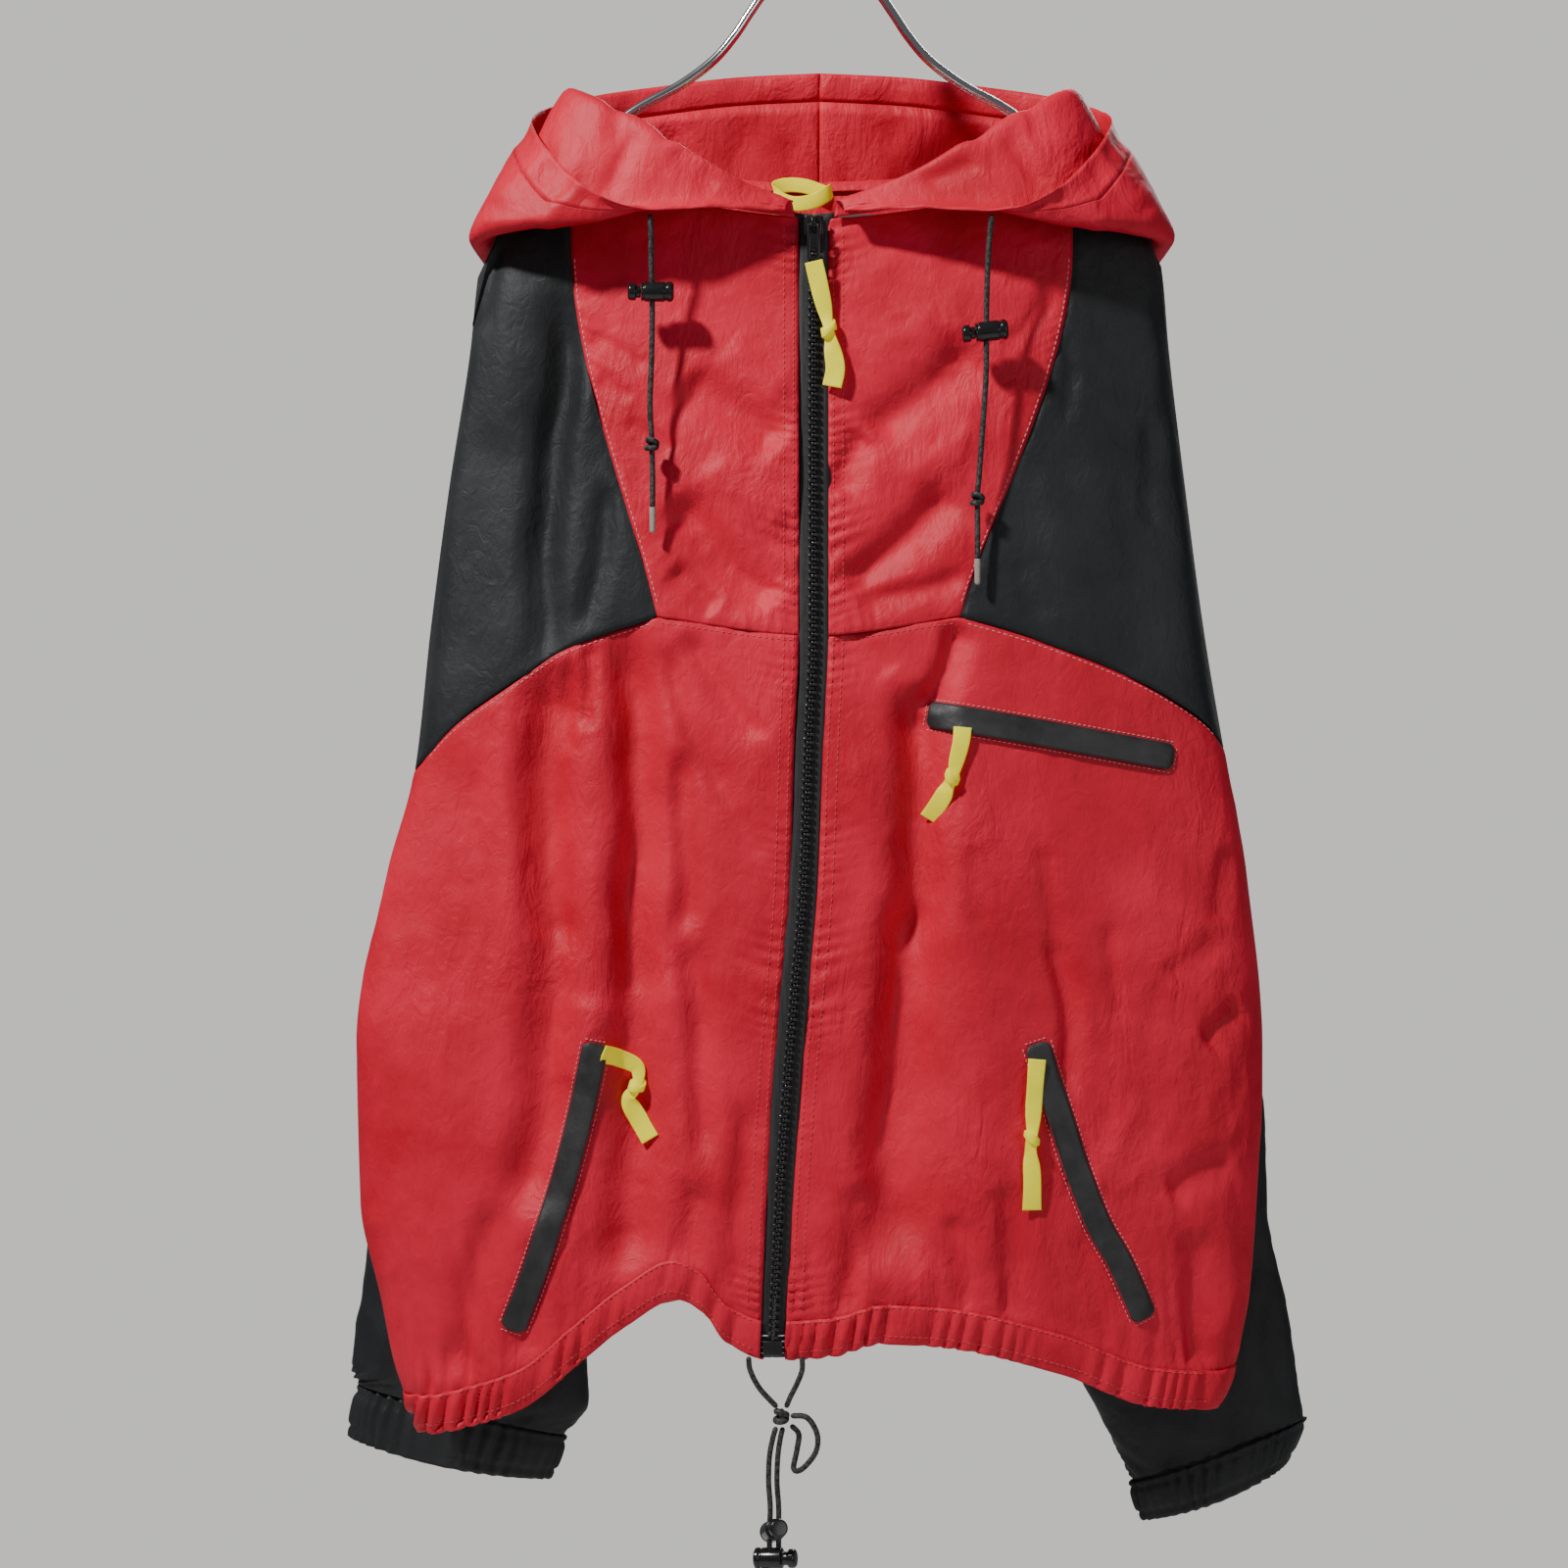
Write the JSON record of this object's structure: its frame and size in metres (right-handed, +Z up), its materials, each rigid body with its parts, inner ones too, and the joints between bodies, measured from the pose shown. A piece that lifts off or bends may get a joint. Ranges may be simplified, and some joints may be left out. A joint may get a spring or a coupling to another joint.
{
  "type": "nylon jacket on a hanger",
  "caption": "Light hooded jacket hanging on a wire hanger, with raglan sleeves, a gathered hem and cuffs, a front zip, welt pockets and drawcords with locks.",
  "frame": {"origin": "top of the hanger hook's bend, on its inside, where the rail carries it", "axes": "+Z up; the jacket's front faces -Y; the wearer's left is +X"},
  "size_m": [0.6049, 0.1688, 1.113],
  "materials": {
    "red_nylon": "thin crinkled nylon with a soft sheen",
    "charcoal_nylon": "thin crinkled nylon with a soft sheen",
    "zip_tape": "woven tape",
    "zip_moulded": "moulded, semi-matte",
    "welt_nylon": "flat woven nylon",
    "yellow_ribbon": "woven ribbon",
    "drawcord": "braided cord",
    "cord_lock": "moulded, glossy",
    "cord_tip": "clear sleeve on the cord's end",
    "hanger_chrome": "polished plating"
  },
  "bodies": {
    "jacket": {"chest_left": "red_nylon", "chest_right": "red_nylon", "front_left": "red_nylon", "front_right": "red_nylon", "back": "red_nylon", "back_yoke": "red_nylon", "hem_front_left": "red_nylon", "hem_front_right": "red_nylon", "hem_back": "red_nylon", "hood_left": "red_nylon", "hood_right": "red_nylon", "hood_casing_left": "red_nylon", "hood_casing_right": "red_nylon", "sleeve_left": "charcoal_nylon", "sleeve_right": "charcoal_nylon", "cuff_left": "charcoal_nylon", "cuff_right": "charcoal_nylon", "zip_tape_left": "zip_tape", "zip_tape_right": "zip_tape", "zip_chain": "zip_moulded", "zip_slider": "zip_moulded", "zip_bottom_box": "zip_moulded", "chest_pocket_welt": "welt_nylon", "hand_pocket_welt_left": "welt_nylon", "hand_pocket_welt_right": "welt_nylon", "chest_pocket_ribbon": "yellow_ribbon", "hand_pocket_ribbon_left": "yellow_ribbon", "hand_pocket_ribbon_right": "yellow_ribbon", "hang_loop": "yellow_ribbon", "hood_cord_left": "drawcord", "hood_cord_right": "drawcord", "hood_knot_left": "drawcord", "hood_knot_right": "drawcord", "hem_cord_left": "drawcord", "hem_cord_right": "drawcord", "hem_cord_loop": "drawcord", "hem_tail_left": "drawcord", "hem_tail_right": "drawcord", "hem_knot": "drawcord", "hood_lock_left": "cord_lock", "hood_lock_right": "cord_lock", "hood_lock_plunger_left": "cord_lock", "hood_lock_plunger_right": "cord_lock", "hem_lock_upper": "cord_lock", "hem_lock_lower": "cord_lock", "hood_tip_left": "cord_tip", "hood_tip_right": "cord_tip", "hanger_hook": "hanger_chrome", "hanger_collar": "hanger_chrome", "hanger_wire_front": "hanger_chrome", "hanger_wire_back": "hanger_chrome"},
    "zip_pull": {"zip_pull_tab": "zip_moulded", "zip_ribbon": "yellow_ribbon"}
  },
  "joints": [
    {"name": "zip_pull_hinge", "type": "hinge", "parent": "jacket", "child": "zip_pull", "pos_m": [-0.005, -0.0357, -0.2787], "axis": [-1, 0, 0], "range_deg": [0, 80]}
  ]
}
